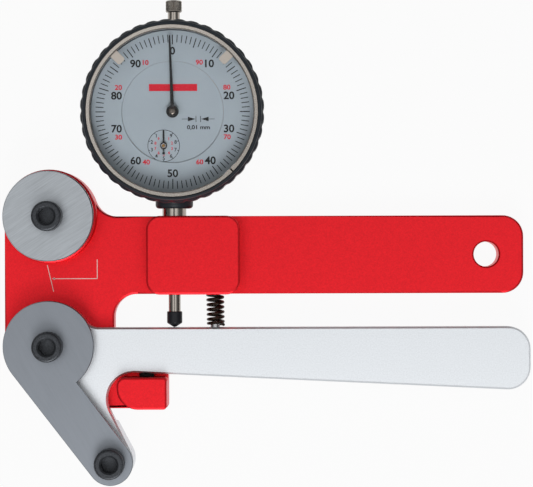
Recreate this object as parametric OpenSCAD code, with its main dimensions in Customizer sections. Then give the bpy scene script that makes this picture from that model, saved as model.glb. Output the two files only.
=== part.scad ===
// Spoke tension meter: a frame with a dial gauge, and a lever that bends a wheel spoke between
// three contact bushes. The tool lies on its back. The origin is on the lever's pivot axis, in the
// plane of the frame's back. +X runs along the handle, +Y across it towards the dial, +Z up.

/* [Frame] */
// Thickness of the frame plate
plate_t = 8; // [7:0.5:9]
// Distance from the pivot axis to the upper contact's axis
contact_pitch = 43; // [42:0.5:46]
// Radius of the frame's round corners about the two contact axes
corner_r = 15.55; // [15.2:0.05:16.4]
// Length of the handle from the pivot axis to its end
handle_len = 158; // [130:1:180]
// Width of the handle from its top edge to its bottom edge
handle_h = 26; // [24:0.5:27]
// Radius of the handle's end corners
handle_r = 7; // [3:0.5:10]
// Distance from the pivot axis to the web's inner edge
web_right = 21; // [19:0.5:24]
// Radius of the fillets at the web's inner edge and beside the upper contact
web_fillet_r = 7.7; // [4:0.1:8]
// Diameter of the hanging hole
hang_hole_d = 8.4; // [5:0.1:12]
// Distance from the handle's end to the hanging hole's axis
hang_hole_inset = 12.4; // [10:0.1:20]
// Width of the chamfer round the holes
hole_chamfer = 0.5; // [0.2:0.1:0.8]

/* [Gauge block and foot] */
// Height of the block and of the foot's boss above the frame plate
block_rise = 10; // [9:0.5:11]
// Wall from the gauge stem's axis to the block's left side
block_left_wall = 9; // [8:0.5:10]
// Wall from the return spring's axis to the block's right side
block_right_wall = 8.3; // [7.5:0.1:10]
// Radius of the block's corners
block_r = 4.5; // [3.5:0.5:6]
// Width of the foot's boss
foot_w = 16.5; // [15:0.5:17]
// Distance from the pivot axis to the foot's right edge
foot_right = 39; // [38.5:0.5:41]
// Height of the foot's boss from its lower edge to the face that holds the lever stop
foot_h = 10.5; // [10:0.5:11]
// Radius of the boss's corner beside the lever's lower arm
foot_big_r = 7; // [6.5:0.1:7.5]

/* [Lever] */
// Thickness of the lever
lever_t = 5; // [4:0.5:6]
// Length of the lever from the pivot axis to its end
lever_len = 159.7; // [135:0.1:180]
// Height of the lever's top edge above the pivot axis
lever_top = 6; // [5:0.5:7]
// Height of the lever's bar, measured at the pivot axis
lever_root_h = 13.6; // [12:0.1:14]
// Height of the lever's bar at its end
lever_end_h = 21.3; // [18:0.1:22]
// Radius of the lever's end corners
lever_end_r = 7.5; // [4:0.5:8]
// Distance from the pivot axis to the lower contact's axis
lower_pitch = 43.5; // [42:0.5:45]
// Angle of the lower contact below the lever's length
lower_angle = 62.2; // [61:0.2:64]
// Radius of the lower arm's end
lower_end_r = 7.3; // [7.1:0.1:7.5]

/* [Spoke contacts] */
// Radius of the guide discs
disc_r = 15; // [13:0.5:15]
// Thickness of the guide discs
disc_t = 2; // [1.5:0.1:3]
// Clear height between the lever and the discs, which the spoke lies in
spoke_gap = 2.8; // [2.6:0.1:4]
// Diameter of the contact bushes
bush_d = 10; // [9.6:0.1:10.4]
// Diameter of the pivot sleeve
sleeve_d = 8; // [7.6:0.1:8.2]
// Width of the arm plate's strip
arm_w = 15; // [14:0.5:15.5]
// Diameter of the contact screws' heads
screw_head_d = 10; // [9:0.5:11]
// Height of the contact screws' heads
screw_head_h = 6; // [5:0.5:6]
// Width across the flats of the screws' sockets
socket_w = 5; // [4:0.5:6]
// Diameter of the contact screws' shanks
screw_d = 6; // [5:0.5:6]

/* [Dial gauge] */
// Distance from the pivot axis to the gauge stem's axis
stem_x = 41.4; // [40:0.2:44]
// Clearance between the handle's top edge and the gauge's collar
collar_gap = 2.5; // [1:0.1:6]
// Height of the collar below the gauge's case
collar_rise = 3.6; // [2.5:0.1:5]
// Diameter of the collar
collar_d = 12.5; // [10.5:0.5:13.5]
// Diameter of the gauge's stem
stem_d = 8; // [7:0.5:9]
// Radius of the gauge's case
case_r = 28; // [26:0.1:31]
// Wall of the gauge's case
case_wall = 2; // [1.5:0.1:2.4]
// Height of the gauge's back above the plane of the frame's back
gauge_back = 0.5; // [0:0.1:1]
// Thickness of the gauge's back cover
cover_t = 1.5; // [1:0.1:2]
// Wall of the bezel outside the case, over the scallops' crests
bezel_wall = 2.15; // [1.9:0.05:3.5]
// Number of scallops round the bezel
scallops = 40; // [24:1:48]
// Depth of the scallops
scallop_depth = 0.5; // [0.2:0.1:0.7]
// Width of the black rim outside the bright ring, over the scallops' crests
rim_w = 2.05; // [1.7:0.05:2.3]
// Width of the bright ring
ring_w = 1.5; // [1.3:0.1:1.9]
// Radius of the fixed inner dial
inner_dial_r = 16.6; // [16:0.1:17]
// Width of the tolerance markers
marker_w = 2.9; // [2:0.1:4]
// Length of the tolerance markers that shows inside the bright ring
marker_reach = 4; // [2:0.5:6]
// Angle of the tolerance markers on either side of the dial's top
marker_angle = 45.5; // [30:0.5:60]

/* [Gauge spindle and movement] */
// Diameter of the spindle
spindle_d = 4; // [3.8:0.1:4.2]
// Diameter of the contact tip
tip_d = 5.1; // [4.8:0.1:6]
// Length of the contact tip
tip_l = 5.2; // [4:0.1:6]
// Diameter of the lifting knob
knob_d = 5.4; // [5:0.1:8]
// Height of the lifting knob
knob_h = 4; // [3:0.5:6]
// Thickness of the wheels
wheel_t = 0.8; // [0.6:0.1:1]
// Diameter of the arbors
arbor_d = 1.6; // [1.4:0.1:1.8]

/* [Return spring] */
// Distance from the pivot axis to the return spring's axis
spring_x = 54.9; // [54:0.1:56]
// Outer diameter of the return spring
spring_d = 6.1; // [5.6:0.1:6.4]
// Diameter of the return spring's wire
spring_wire = 0.85; // [0.6:0.05:0.95]
// Number of curls in the return spring
spring_turns = 13; // [11:1:13]
// Depth of the spring's pocket in the block
pocket_depth = 12; // [10:0.5:13]

/* [Clearances] */
// Radial clearance of a running fit
run_fit = 0.04; // [0.02:0.01:0.08]
// Clearance between faces that move past each other
face_gap = 0.2; // [0.1:0.05:0.3]
// Radial clearance round a seated screw or stem
seat_fit = 0.05; // [0.02:0.01:0.1]

/* [Hidden] */

$fn = 96;
eps = 0.01;
// How far an arc reaches past the straight sides that run into it, so that they meet in one edge
overlap = 0.002;

// Heights of the stack, from the back of the frame to the screw heads
lever_z = plate_t + face_gap;
spoke_z = lever_z + lever_t;
disc_z = spoke_z + spoke_gap;
head_z = disc_z + disc_t;
block_top = plate_t + block_rise;
axis_z = lever_z + lever_t / 2;

// Frame
handle_bottom = contact_pitch - handle_h;
block_left = stem_x - block_left_wall;
block_right = spring_x + block_right_wall;
blind_floor = 1.5;
foot_ledge = 0.3;
foot_small_r = 1.2;
foot_top_r = 2.7;
foot_corner_x = 8;
foot_corner_r = 6;
hidden_r = 4;
lever_cover = 6.5;

// Lever: its underside falls away from the pivot, and the lower arm ends at the lower contact
underside_slope = (lever_end_h - lever_root_h) / lever_len;
lower_axis = lower_pitch * [cos(lower_angle), -sin(lower_angle)];
stop_x = 32;
stop_pad_d = 5;
stop_screw_d = 3;
stop_screw_l = 8;
clamp_d = 4;
clamp_socket_w = 2;
stop_face = underside(stop_x + stop_pad_d / 2) - seat_fit;
foot_top = stop_face - 1.1;
foot_bottom = foot_top - foot_h;
plate_foot_bottom = foot_bottom - foot_ledge;
hub_r = disc_r - 0.4;
hub_fillet_r = 5;
inner_fillet_r = 8.8;
bearing_d = sleeve_d + 2.4;

// Return spring in its pocket, and the peg inside it
pocket_d = spring_d + 0.8;
spring_l = handle_bottom + pocket_depth - lever_top - 2 * face_gap;
peg_r = spring_d / 2 - spring_wire - 0.6;

// Gauge, with its heights from the back to the crystal
collar_bottom = contact_pitch + collar_gap;
dial_y = collar_bottom + collar_rise + case_r;
inside_r = case_r - case_wall;
bezel_r = case_r + bezel_wall;
ring_outer_r = bezel_r - rim_w;
ring_inner_r = ring_outer_r - ring_w;
case_back_z = gauge_back + cover_t;
floor_z = axis_z + spindle_d / 2 + face_gap;
floor_t = 1.2;
case_front = block_top + 1;
rim_gap = 0.1;
wheel_z = floor_z + floor_t + 0.8;
plate_z = wheel_z + wheel_t + 1.2;
movement_plate_t = 1;
dial_t = 0.8;
scale_z = case_front + rim_gap + 0.5;
inner_dial_z = scale_z - 0.3;
hand_t = 0.4;
counter_hand_z = inner_dial_z + dial_t + 0.4;
main_hand_z = scale_z + dial_t + 1;
crystal_rise = 5.2;
crystal_z = case_front + crystal_rise;
crystal_t = 1.2;
lip_z = crystal_z + crystal_t + 0.7;
bezel_front = lip_z + 0.7;
skirt_z = case_front - 1.4;
bezel_bore_r = ring_inner_r + 0.2;
shelf_w = 0.8;
shelf_r = bezel_bore_r - shelf_w;
skirt_r = case_r + run_fit;
smooth_r = bezel_r - scallop_depth - 0.3;
scallop_turn = 4.2;
ring_foot_w = 0.6;
ring_slit = 0.4;
marker_r = 0.8;
marker_t = 0.3;
marker_gap = 0.25;
boss_d = 8;
boss_top = dial_y + bezel_r + 1.2;
bush_outer_d = spindle_d + 1.2;
stem_bore_d = spindle_d + 0.8;
stem_bush_l = 6;
cover_screw_d = 1.1;
cover_screw_grip = 3;
cover_head_d = 1.9;
cover_head_h = 0.3;

// Spindle and movement: the counter hand turns once, and the main hand ten times, in 10 mm
counter_travel = 10;
rack_teeth = 16;
wheel_teeth = 100;
pinion_teeth = 10;
wheel_module = 0.21;
tip_bottom = lever_top + seat_fit * 2;
tip_top = tip_bottom + tip_l;
lever_travel = 7.5;
stem_bottom = tip_top + lever_travel + 0.5;
knob_bottom = dial_y + bezel_r + 3.5;
rack_module = counter_travel / (PI * rack_teeth);
rack_pitch = PI * rack_module;
rack_pinion_r = rack_module * rack_teeth / 2;
rack_line = spindle_d / 2 - 0.62;
arbor_x = -rack_line - rack_pinion_r;
centre_distance = wheel_module * (wheel_teeth + pinion_teeth) / 2;
arbor_y = -sqrt(centre_distance * centre_distance - arbor_x * arbor_x);
train_angle = atan2(-arbor_y, -arbor_x);
rack_below = ceil(counter_travel / rack_pitch) + 2;
rack_above = 2;
addendum = 0.8;
dedendum = 1;
tooth_share = 0.42;
rack_pinion_z = axis_z - 1.7;
rack_pinion_w = 3.4;
bridge_z = rack_pinion_z - 2.2;
bridge_t = 1.2;
pivot_d = arbor_d - 0.6;
end_play = 0.2;
hand_rest = 2.1;
hand_l = ring_inner_r - 1.6;
hand_hub_r = 2.05;
hand_root_w = 1.24;
hand_tip_w = 0.44;
counter_hand_l = 5;
counter_hand_w = 0.5;
counter_tail_l = 2.5;
counter_hub_r = 1.15;
pillar_d = 2.6;
pillar_ring_r = inside_r - pillar_d / 2 - 0.7;
pillar_angles = [-17, -45, 135, 163];
bridge_pillar_x = -10;
bridge_pillar_low = -17;
bridge_pillar_high = -5.5;
bridge_pillars = [[bridge_pillar_x, bridge_pillar_low], [bridge_pillar_x, bridge_pillar_high]];
bridge_wall = 2.2;
dial_foot_x = 9;
dial_foot_d = 1.5;
wheel_rim_w = 1.4;
wheel_hub_r = 2.2;
wheel_spoke_w = 1.2;
knob_stud_d = 2.4;
tip_stud_d = 2.5;
tip_stud_l = 3.5;
guide_pin_d = 1.6;
guide_pin_l = 7.8;
guide_pin_start = 0.6;
rail_x = 5.9;
rail_w = 2.5;
rail_drop = 1.8;
rail_end = 2;
rail_top = sqrt(inside_r * inside_r - (rail_x + rail_w) * (rail_x + rail_w)) - 3 * face_gap;
guide_pin_y = rail_top - counter_travel - rail_end;
gauge_spring_x = 4.3;
gauge_spring_y = 4.5 - inside_r;
gauge_spring_d = 2.6;
gauge_spring_wire = 0.45;
gauge_spring_turns = 24;
spring_post_d = 1.6;
hairspring_turns = 4;
hairspring_pitch = 0.95;
hairspring_strip = 0.2;
hairspring_w = 0.5;
hairspring_stud_d = 1;
collet_r = 1.2;
collet_h = 0.8;

function underside(x) = lever_top - lever_root_h - underside_slope * x;
function unit(v) = v / norm(v);
function left_of(v) = [-v.y, v.x];
function polar(r, a) = r * [cos(a), sin(a)];

// Where two lines meet, each given as a point and a direction
function meet(p, u, q, v) =
    let (d = u.x * v.y - u.y * v.x)
    p + u * (((q.x - p.x) * v.y - (q.y - p.y) * v.x) / d);

// Centre of the circle of radius r that touches both sides of the corner b
function corner_centre(a, b, c, r) =
    let (u = unit(b - a), v = unit(c - b))
    let (side = sign(u.x * v.y - u.y * v.x))
    meet(b + side * r * left_of(u), u, b + side * r * left_of(v), v);

// Outline through the points [x, y, radius], anticlockwise, with every corner rounded
module rounded(points) {
    n = len(points);
    corner = [for (p = points) [p.x, p.y]];
    turn = [for (i = [0:n - 1])
        let (u = corner[i] - corner[(i + n - 1) % n], v = corner[(i + 1) % n] - corner[i])
        sign(u.x * v.y - u.y * v.x)];
    centre = [for (i = [0:n - 1])
        corner_centre(corner[(i + n - 1) % n], corner[i], corner[(i + 1) % n], points[i].z)];
    chords = [for (i = [0:n - 1]) let (
            u = unit(corner[i] - corner[(i + n - 1) % n]),
            v = unit(corner[(i + 1) % n] - corner[i]),
            back = (corner[i] - centre[i]) * u,
            ahead = (corner[i] - centre[i]) * v)
        each points[i].z == 0 ? [corner[i]] : [corner[i] - u * back, corner[i] - v * ahead]];
    difference() {
        union() {
            polygon(chords);
            for (i = [0:n - 1]) if (turn[i] > 0 && points[i].z > 0)
                translate(centre[i]) circle(points[i].z + overlap);
        }
        for (i = [0:n - 1]) if (turn[i] < 0 && points[i].z > 0)
            translate(centre[i]) circle(points[i].z + overlap);
    }
}

// Fillet of radius r, to the right, between a circle about the origin and a level edge at height y
module circle_fillet(circle_r, y, r) {
    x = sqrt((circle_r + r) * (circle_r + r) - (y + r) * (y + r));
    difference() {
        polygon([[0, 0], [x, y], [x, y + r]]);
        translate([x, y + r]) circle(r + overlap);
    }
}

// Ring or disc whose outer edges are chamfered
module chamfered_disc(r, h, chamfer) {
    cylinder(r1 = r - chamfer, r2 = r, h = chamfer);
    translate([0, 0, chamfer]) cylinder(r = r, h = h - 2 * chamfer);
    translate([0, 0, h - chamfer]) cylinder(r1 = r, r2 = r - chamfer, h = chamfer);
}

// Cutter for a hole along +Z that is chamfered at its upper mouth
module mouth(r, h, chamfer) {
    translate([0, 0, h - chamfer]) cylinder(r1 = r, r2 = r + chamfer + eps, h = chamfer + eps);
}

// Puts a shape that is drawn along +Z on an axis along +Y, standing at the given x and y
module along_y(x, y, z = axis_z) {
    translate([x, y, z]) rotate([-90, 0, 0]) children();
}

// Puts a shape on the dial's centre
module on_dial(z = 0) {
    translate([stem_x, dial_y, z]) children();
}

// Socket head screw whose head stands on z = 0 and whose shank goes down
module socket_screw(shank_l) {
    socket_depth = screw_head_h / 2;
    difference() {
        union() {
            cylinder(d = screw_head_d, h = screw_head_h - 0.5);
            translate([0, 0, screw_head_h - 0.5])
                cylinder(d1 = screw_head_d, d2 = screw_head_d - 1, h = 0.5);
        }
        translate([0, 0, screw_head_h - socket_depth])
            cylinder(d = socket_w / cos(30), h = socket_depth + eps, $fn = 6);
        translate([0, 0, screw_head_h - 0.4])
            cylinder(d1 = socket_w, d2 = socket_w + 1.2, h = 0.4 + eps);
    }
    translate([0, 0, -shank_l]) cylinder(d = screw_d, h = shank_l + eps);
}

// Frame: plate, raised boss of the upper contact, gauge block and foot
module plate_outline() {
    square_top = contact_pitch;
    foot_corner = [foot_corner_x, plate_foot_bottom];
    reach = norm(foot_corner);
    touch = polar(corner_r - overlap,
        atan2(foot_corner.y, foot_corner.x) - acos(corner_r / reach));
    hidden_step = lever_top - lever_cover;
    rounded([[-corner_r, 0, 0], [0, 0, 0], [touch.x, touch.y, 0],
        [foot_corner.x, foot_corner.y, foot_corner_r],
        [foot_right, plate_foot_bottom, foot_small_r],
        [foot_right, hidden_step, hidden_r], [web_right, hidden_step, hidden_r],
        [web_right, handle_bottom, web_fillet_r], [handle_len, handle_bottom, handle_r],
        [handle_len, square_top, handle_r], [-corner_r, square_top, 0]]);
    circle(corner_r);
    translate([0, contact_pitch]) {
        circle(corner_r);
        circle_fillet(corner_r, 0, web_fillet_r);
    }
}

module block_outline() {
    rounded([[block_left, handle_bottom, block_r], [block_right, handle_bottom, block_r],
        [block_right, contact_pitch, block_r], [block_left, contact_pitch, block_r]]);
}

// The foot's boss, whose large corner is wider than half its height
module foot_outline() {
    foot_left = foot_right - foot_w;
    above = foot_bottom + 2.5 * foot_big_r;
    intersection() {
        rounded([[foot_left, foot_bottom, foot_big_r], [foot_right, foot_bottom, foot_small_r],
            [foot_right, above, 0], [foot_left, above, 0]]);
        rounded([[foot_left, foot_bottom, 0], [foot_right, foot_bottom, 0],
            [foot_right, foot_top, foot_small_r], [foot_left, foot_top, foot_top_r]]);
    }
}

module frame_plate() color("crimson") {
    hang_x = handle_len - hang_hole_inset;
    hang_y = contact_pitch - handle_h / 2;
    difference() {
        union() {
            linear_extrude(plate_t) plate_outline();
            translate([0, contact_pitch, 0]) cylinder(r = corner_r, h = spoke_z);
            linear_extrude(block_top) block_outline();
            linear_extrude(block_top) foot_outline();
        }
        translate([hang_x, hang_y, -eps]) cylinder(d = hang_hole_d, h = plate_t + 2 * eps);
        translate([hang_x, hang_y, 0]) mouth(hang_hole_d / 2, plate_t, hole_chamfer);
        translate([hang_x, hang_y, plate_t]) mirror([0, 0, 1])
            mouth(hang_hole_d / 2, plate_t, hole_chamfer);
        translate([0, contact_pitch, blind_floor])
            cylinder(d = screw_d + 2 * seat_fit, h = spoke_z);
        translate([0, 0, blind_floor]) cylinder(d = screw_d + 2 * seat_fit, h = plate_t);
        along_y(stem_x, handle_bottom - eps)
            cylinder(d = stem_d + 2 * seat_fit, h = handle_h + 2 * eps);
        along_y(spring_x, handle_bottom - eps) {
            cylinder(d = pocket_d, h = pocket_depth);
            cylinder(d1 = pocket_d + 1.8, d2 = pocket_d, h = 0.9);
        }
        along_y(stop_x, foot_top - stop_screw_l)
            cylinder(d = stop_screw_d + 2 * seat_fit, h = stop_screw_l + eps);
        translate([stem_x, contact_pitch - handle_h / 2, -eps])
            cylinder(d = clamp_d + 2 * seat_fit, h = axis_z);
    }
}

module upper_disc() color("silver") translate([0, contact_pitch, disc_z]) difference() {
    chamfered_disc(disc_r, disc_t, 0.3);
    translate([0, 0, -eps]) cylinder(d = screw_d + 2 * seat_fit, h = disc_t + 2 * eps);
}

// Contact bush that the spoke bears on
module contact_bush(bore_d) {
    difference() {
        cylinder(d = bush_d, h = spoke_gap);
        translate([0, 0, -eps]) cylinder(d = bore_d, h = spoke_gap + 2 * eps);
    }
}

module upper_bush() color("silver")
    translate([0, contact_pitch, spoke_z]) contact_bush(screw_d + 2 * seat_fit);

module upper_screw() color("dimgray")
    translate([0, contact_pitch, head_z]) socket_screw(head_z - blind_floor - 0.5);

module pivot_screw() color("dimgray")
    translate([0, 0, head_z + rim_gap]) socket_screw(head_z + rim_gap - blind_floor - 0.5);

module pivot_sleeve() color("gainsboro") translate([0, 0, plate_t]) difference() {
    cylinder(d = sleeve_d, h = head_z + rim_gap - plate_t);
    translate([0, 0, -eps])
        cylinder(d = screw_d + 2 * seat_fit, h = head_z + rim_gap - plate_t + 2 * eps);
}

module stop_screw() color("dimgray")
    along_y(stop_x, foot_top - stop_screw_l + 0.5)
        cylinder(d = stop_screw_d, h = stop_screw_l - 0.5);

module stop_pad() color("black") along_y(stop_x, foot_top)
    chamfered_disc(stop_pad_d / 2, stop_face - foot_top, 0.2);

module stem_clamp_screw() color("dimgray") {
    clamp_top = axis_z - stem_d / 2 - 0.1;
    translate([stem_x, contact_pitch - handle_h / 2, 1]) difference() {
        cylinder(d = clamp_d, h = clamp_top - 1);
        translate([0, 0, -eps]) cylinder(d = clamp_socket_w / cos(30), h = clamp_d / 2, $fn = 6);
    }
}

// Lever: bar, hub and lower arm, with the thick end that carries the lower contact
module arm_outline(end_r, hub) {
    a = 90 - asin((hub - end_r) / lower_pitch);
    left = polar(1, -lower_angle - a);
    right = polar(1, -lower_angle + a);
    polygon([hub * left, [0, 0], hub * right, lower_axis + end_r * right,
        lower_axis + end_r * left]);
    circle(hub + overlap);
    translate(lower_axis) circle(end_r + overlap);
}

module lever_outline() {
    edge = unit([1, -2]);
    arm_edge = lower_axis + lower_end_r * left_of(edge);
    slope = unit([1, -underside_slope]);
    root = [0, underside(0)];
    corner = meet(root, slope, arm_edge, edge);
    centre = meet(root - inner_fillet_r * left_of(slope), slope,
        arm_edge + inner_fillet_r * left_of(edge), edge);
    touch_bar = centre + inner_fillet_r * left_of(slope);
    touch_arm = centre - inner_fillet_r * left_of(edge);
    a = 90 - asin((hub_r - lower_end_r) / lower_pitch);
    left = polar(1, -lower_angle - a);
    rounded([[0, underside(0), 0], [lever_len, underside(lever_len), lever_end_r],
        [lever_len, lever_top, lever_end_r], [0, lever_top, 0]]);
    circle(hub_r + overlap);
    circle_fillet(hub_r, lever_top, hub_fillet_r);
    translate(lower_axis) circle(lower_end_r + overlap);
    polygon([hub_r * left, lower_axis + lower_end_r * left, lower_axis, arm_edge, corner,
        [0, 0]]);
    difference() {
        polygon([[0, 0], touch_arm - left_of(edge), centre, touch_bar + left_of(slope)]);
        translate(centre) circle(inner_fillet_r + overlap);
    }
}

module lever_bar() color("gainsboro") {
    boss_l = 11;
    difference() {
        union() {
            translate([0, 0, lever_z]) linear_extrude(lever_t) lever_outline();
            translate([0, 0, face_gap]) linear_extrude(lever_z) intersection() {
                arm_outline(lower_end_r, lower_end_r);
                rotate(-lower_angle) translate([lower_pitch - boss_l, -disc_r])
                    square([boss_l * 2, disc_r * 2]);
            }
        }
        translate([0, 0, lever_z - eps]) cylinder(d = bearing_d, h = lever_t + 2 * eps);
        translate([lower_axis.x, lower_axis.y, blind_floor])
            cylinder(d = screw_d + 2 * seat_fit, h = spoke_z);
    }
}

module lever_bearing() color("peru") translate([0, 0, lever_z]) difference() {
    cylinder(d = bearing_d, h = lever_t);
    translate([0, 0, -eps]) cylinder(d = sleeve_d + 2 * run_fit, h = lever_t + 2 * eps);
}

module pivot_bush() color("silver")
    translate([0, 0, spoke_z]) contact_bush(sleeve_d + 2 * run_fit);

module arm_plate() color("slategray") translate([0, 0, disc_z]) difference() {
    a = 90 - asin((disc_r - arm_w / 2) / lower_pitch);
    left = polar(1, -lower_angle - a);
    strip = [disc_r * left, lower_axis + arm_w / 2 * left, lower_axis - arm_w / 2 * left,
        (disc_r - arm_w) * left];
    linear_extrude(disc_t) {
        circle(disc_r + overlap);
        translate(lower_axis) circle(arm_w / 2 + overlap);
        polygon(strip);
    }
    translate([0, 0, -eps])
        cylinder(d = sleeve_d + 2 * run_fit, h = disc_t + 2 * eps);
    translate([lower_axis.x, lower_axis.y, -eps])
        cylinder(d = screw_d + 2 * seat_fit, h = disc_t + 2 * eps);
}

module lower_bush() color("silver")
    translate([lower_axis.x, lower_axis.y, spoke_z]) contact_bush(screw_d + 2 * seat_fit);

module lower_screw() color("dimgray")
    translate([lower_axis.x, lower_axis.y, head_z])
        socket_screw(head_z - blind_floor - 0.5);

module spring_peg() color("silver") along_y(spring_x, lever_top) {
    cylinder(r = peg_r, h = 1.4);
    translate([0, 0, 1.4]) cylinder(r1 = peg_r, r2 = peg_r - 0.6, h = 0.6);
}

// Point i of a coil's ring j: the coil climbs along +Y from y = 0
function coil_point(i, j, coil_r, wire_r, pitch, steps, sides) =
    let (a = 360 * i / steps, b = 360 * j / sides)
    let (r = coil_r + wire_r * cos(b))
    [r * cos(a), pitch * i / steps + wire_r * sin(b), r * sin(a)];

// One unbroken tube wound into a coil, 8 rings a curl and 6 sides
module coil(outer_d, wire_d, length, turns) {
    steps = 8;
    sides = 6;
    rings = turns * steps;
    pitch = (length - wire_d) / turns;
    points = [for (i = [0:rings], j = [0:sides - 1])
        coil_point(i, j, (outer_d - wire_d) / 2, wire_d / 2, pitch, steps, sides)];
    walls = [for (i = [0:rings - 1], j = [0:sides - 1])
        let (k = i * sides, n = (j + 1) % sides)
        each [[k + j, k + n, k + sides + j], [k + n, k + sides + n, k + sides + j]]];
    caps = [for (j = [1:sides - 2])
        each [[0, j + 1, j], [rings * sides, rings * sides + j, rings * sides + j + 1]]];
    translate([0, wire_d / 2, 0]) polyhedron(points, concat(walls, caps));
    echo(least_gap_between_curls = coil_gap(outer_d, wire_d, pitch, steps, sides));
}

// Least distance between the points of one curl's rings and those of the next curl
function coil_gap(outer_d, wire_d, pitch, steps, sides) =
    min([for (i = [0:steps - 1], k = [steps - 2:steps + 2], j = [0:sides - 1], m = [0:sides - 1])
        norm(coil_point(i, j, (outer_d - wire_d) / 2, wire_d / 2, pitch, steps, sides)
            - coil_point(i + k, m, (outer_d - wire_d) / 2, wire_d / 2, pitch, steps, sides))]);

module return_spring() color("black")
    translate([spring_x, lever_top + face_gap, axis_z])
        coil(spring_d, spring_wire, spring_l, spring_turns);

// Gauge: stem, case, back and fixed inner parts
module gauge_stem() color("silver") along_y(stem_x, stem_bottom) difference() {
    stem_l = dial_y - case_r + 1 - stem_bottom;
    cylinder(d = stem_d, h = stem_l);
    translate([0, 0, -eps]) cylinder(d = stem_bore_d, h = stem_l + 2 * eps);
}

module gauge_case() color("dimgray") {
    lower_wall = dial_y - case_r;
    upper_wall = dial_y + case_r;
    boss_end = dial_y + bezel_r - 0.6;
    difference() {
        union() {
            on_dial(case_back_z) cylinder(r = case_r, h = case_front - case_back_z);
            along_y(stem_x, collar_bottom)
                cylinder(d = collar_d, h = collar_rise + case_wall + 1);
            along_y(stem_x, upper_wall - 2 * case_wall)
                cylinder(d = boss_d, h = boss_end - upper_wall + 2 * case_wall);
        }
        on_dial(case_back_z - eps) cylinder(r = inside_r, h = floor_z - case_back_z + eps);
        on_dial(floor_z + floor_t) cylinder(r = inside_r, h = case_front);
        on_dial(floor_z - eps) translate([arbor_x, arbor_y, 0])
            cylinder(r = rack_pinion_r + 0.7, h = floor_t + 2 * eps);
        on_dial(floor_z - eps) for (p = [[0, 0], [-arbor_x, -arbor_y]]) translate(p)
            cylinder(d = pivot_d + 2 * run_fit, h = floor_t + 2 * eps);
        along_y(stem_x, collar_bottom - eps)
            cylinder(d = stem_d + 2 * seat_fit, h = lower_wall + 1 + 2 * eps - collar_bottom);
        along_y(stem_x, lower_wall) cylinder(d = stem_bore_d, h = case_wall + 1);
        along_y(stem_x, upper_wall - case_wall - 1)
            cylinder(d = bush_outer_d + 2 * seat_fit, h = bezel_r);
        on_dial(case_back_z - eps) at_cover_screws()
            cylinder(d = cover_screw_d + 2 * seat_fit, h = cover_screw_grip + 1);
    }
    post_y = gauge_spring_y - face_gap - spring_post_d / 2;
    on_dial() translate([gauge_spring_x, post_y, axis_z - gauge_spring_d / 2])
        cylinder(d = spring_post_d, h = floor_z - axis_z + gauge_spring_d / 2 + eps);
}

// The four places of the back cover's screws
module at_cover_screws() {
    for (a = [45:90:315]) rotate(a) translate([case_r - case_wall / 2, 0, 0]) children();
}

module case_back() color("darkgray") on_dial(gauge_back) difference() {
    spigot_r = inside_r - 2 * seat_fit;
    union() {
        chamfered_disc(case_r, cover_t, 0.4);
        translate([0, 0, cover_t - eps]) cylinder(r = spigot_r, h = 0.8);
    }
    translate([0, 0, cover_t]) cylinder(r = spigot_r - 1.5, h = 1);
    translate([0, 0, -eps]) at_cover_screws()
        cylinder(d = cover_screw_d + 2 * seat_fit, h = cover_t + 1);
}

module case_back_screws() color("silver") on_dial(gauge_back) at_cover_screws() {
    translate([0, 0, -cover_head_h]) cylinder(d = cover_head_d, h = cover_head_h);
    translate([0, 0, -eps]) cylinder(d = cover_screw_d, h = cover_t + cover_screw_grip);
}

module spindle_bush(outer_d, h) difference() {
    cylinder(d = outer_d, h = h);
    translate([0, 0, -eps]) cylinder(d = spindle_d + 2 * run_fit, h = h + 2 * eps);
}

module plunger_bushes() color("peru") {
    upper_y = dial_y + inside_r - 1;
    along_y(stem_x, upper_y) spindle_bush(bush_outer_d, boss_top - upper_y);
    along_y(stem_x, stem_bottom) spindle_bush(stem_bore_d - 2 * eps, stem_bush_l);
}

// Movement: what carries the arbors
module rear_bridge() color("goldenrod") on_dial(bridge_z) difference() {
    lower = bridge_pillars[0];
    upper = bridge_pillars[1];
    linear_extrude(bridge_t) {
        rounded([[lower.x - bridge_wall, lower.y - bridge_wall, 2],
            [lower.x + bridge_wall, lower.y - bridge_wall, 2],
            [arbor_x + pivot_d / 2 + 1.1, arbor_y, 1.5],
            [upper.x + bridge_wall, upper.y + bridge_wall, 2],
            [upper.x - bridge_wall, upper.y + bridge_wall, 2]]);
    }
    translate([arbor_x, arbor_y, -eps])
        cylinder(d = pivot_d + 2 * run_fit, h = bridge_t + 2 * eps);
}

module movement_plate() color("goldenrod") on_dial(plate_z) difference() {
    cylinder(r = inside_r - 2 * seat_fit, h = movement_plate_t);
    for (p = [[0, 0], [arbor_x, arbor_y]]) translate([p.x, p.y, -eps])
        cylinder(d = arbor_d + 2 * run_fit, h = movement_plate_t + 2 * eps);
    translate([-arbor_x, -arbor_y, -eps])
        cylinder(d = pivot_d + 2 * run_fit, h = movement_plate_t + 2 * eps);
}

module movement_pillars() color("goldenrod") on_dial() {
    for (a = pillar_angles) rotate(a) translate([pillar_ring_r, 0, floor_z + floor_t])
        cylinder(d = pillar_d, h = plate_z - floor_z - floor_t);
    for (p = bridge_pillars) translate([p.x, p.y, bridge_z + bridge_t])
        cylinder(d = pillar_d, h = floor_z - bridge_z - bridge_t);
    rail_l = counter_travel + 2 * rail_end;
    translate([rail_x, guide_pin_y - rail_end, axis_z - rail_drop]) difference() {
        cube([rail_w, rail_l, floor_z - axis_z + rail_drop]);
        translate([-eps, -eps, rail_drop - guide_pin_d / 2 - run_fit])
            cube([rail_w - 2 * face_gap, rail_l + 2 * eps, guide_pin_d + 2 * run_fit]);
    }
}

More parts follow.
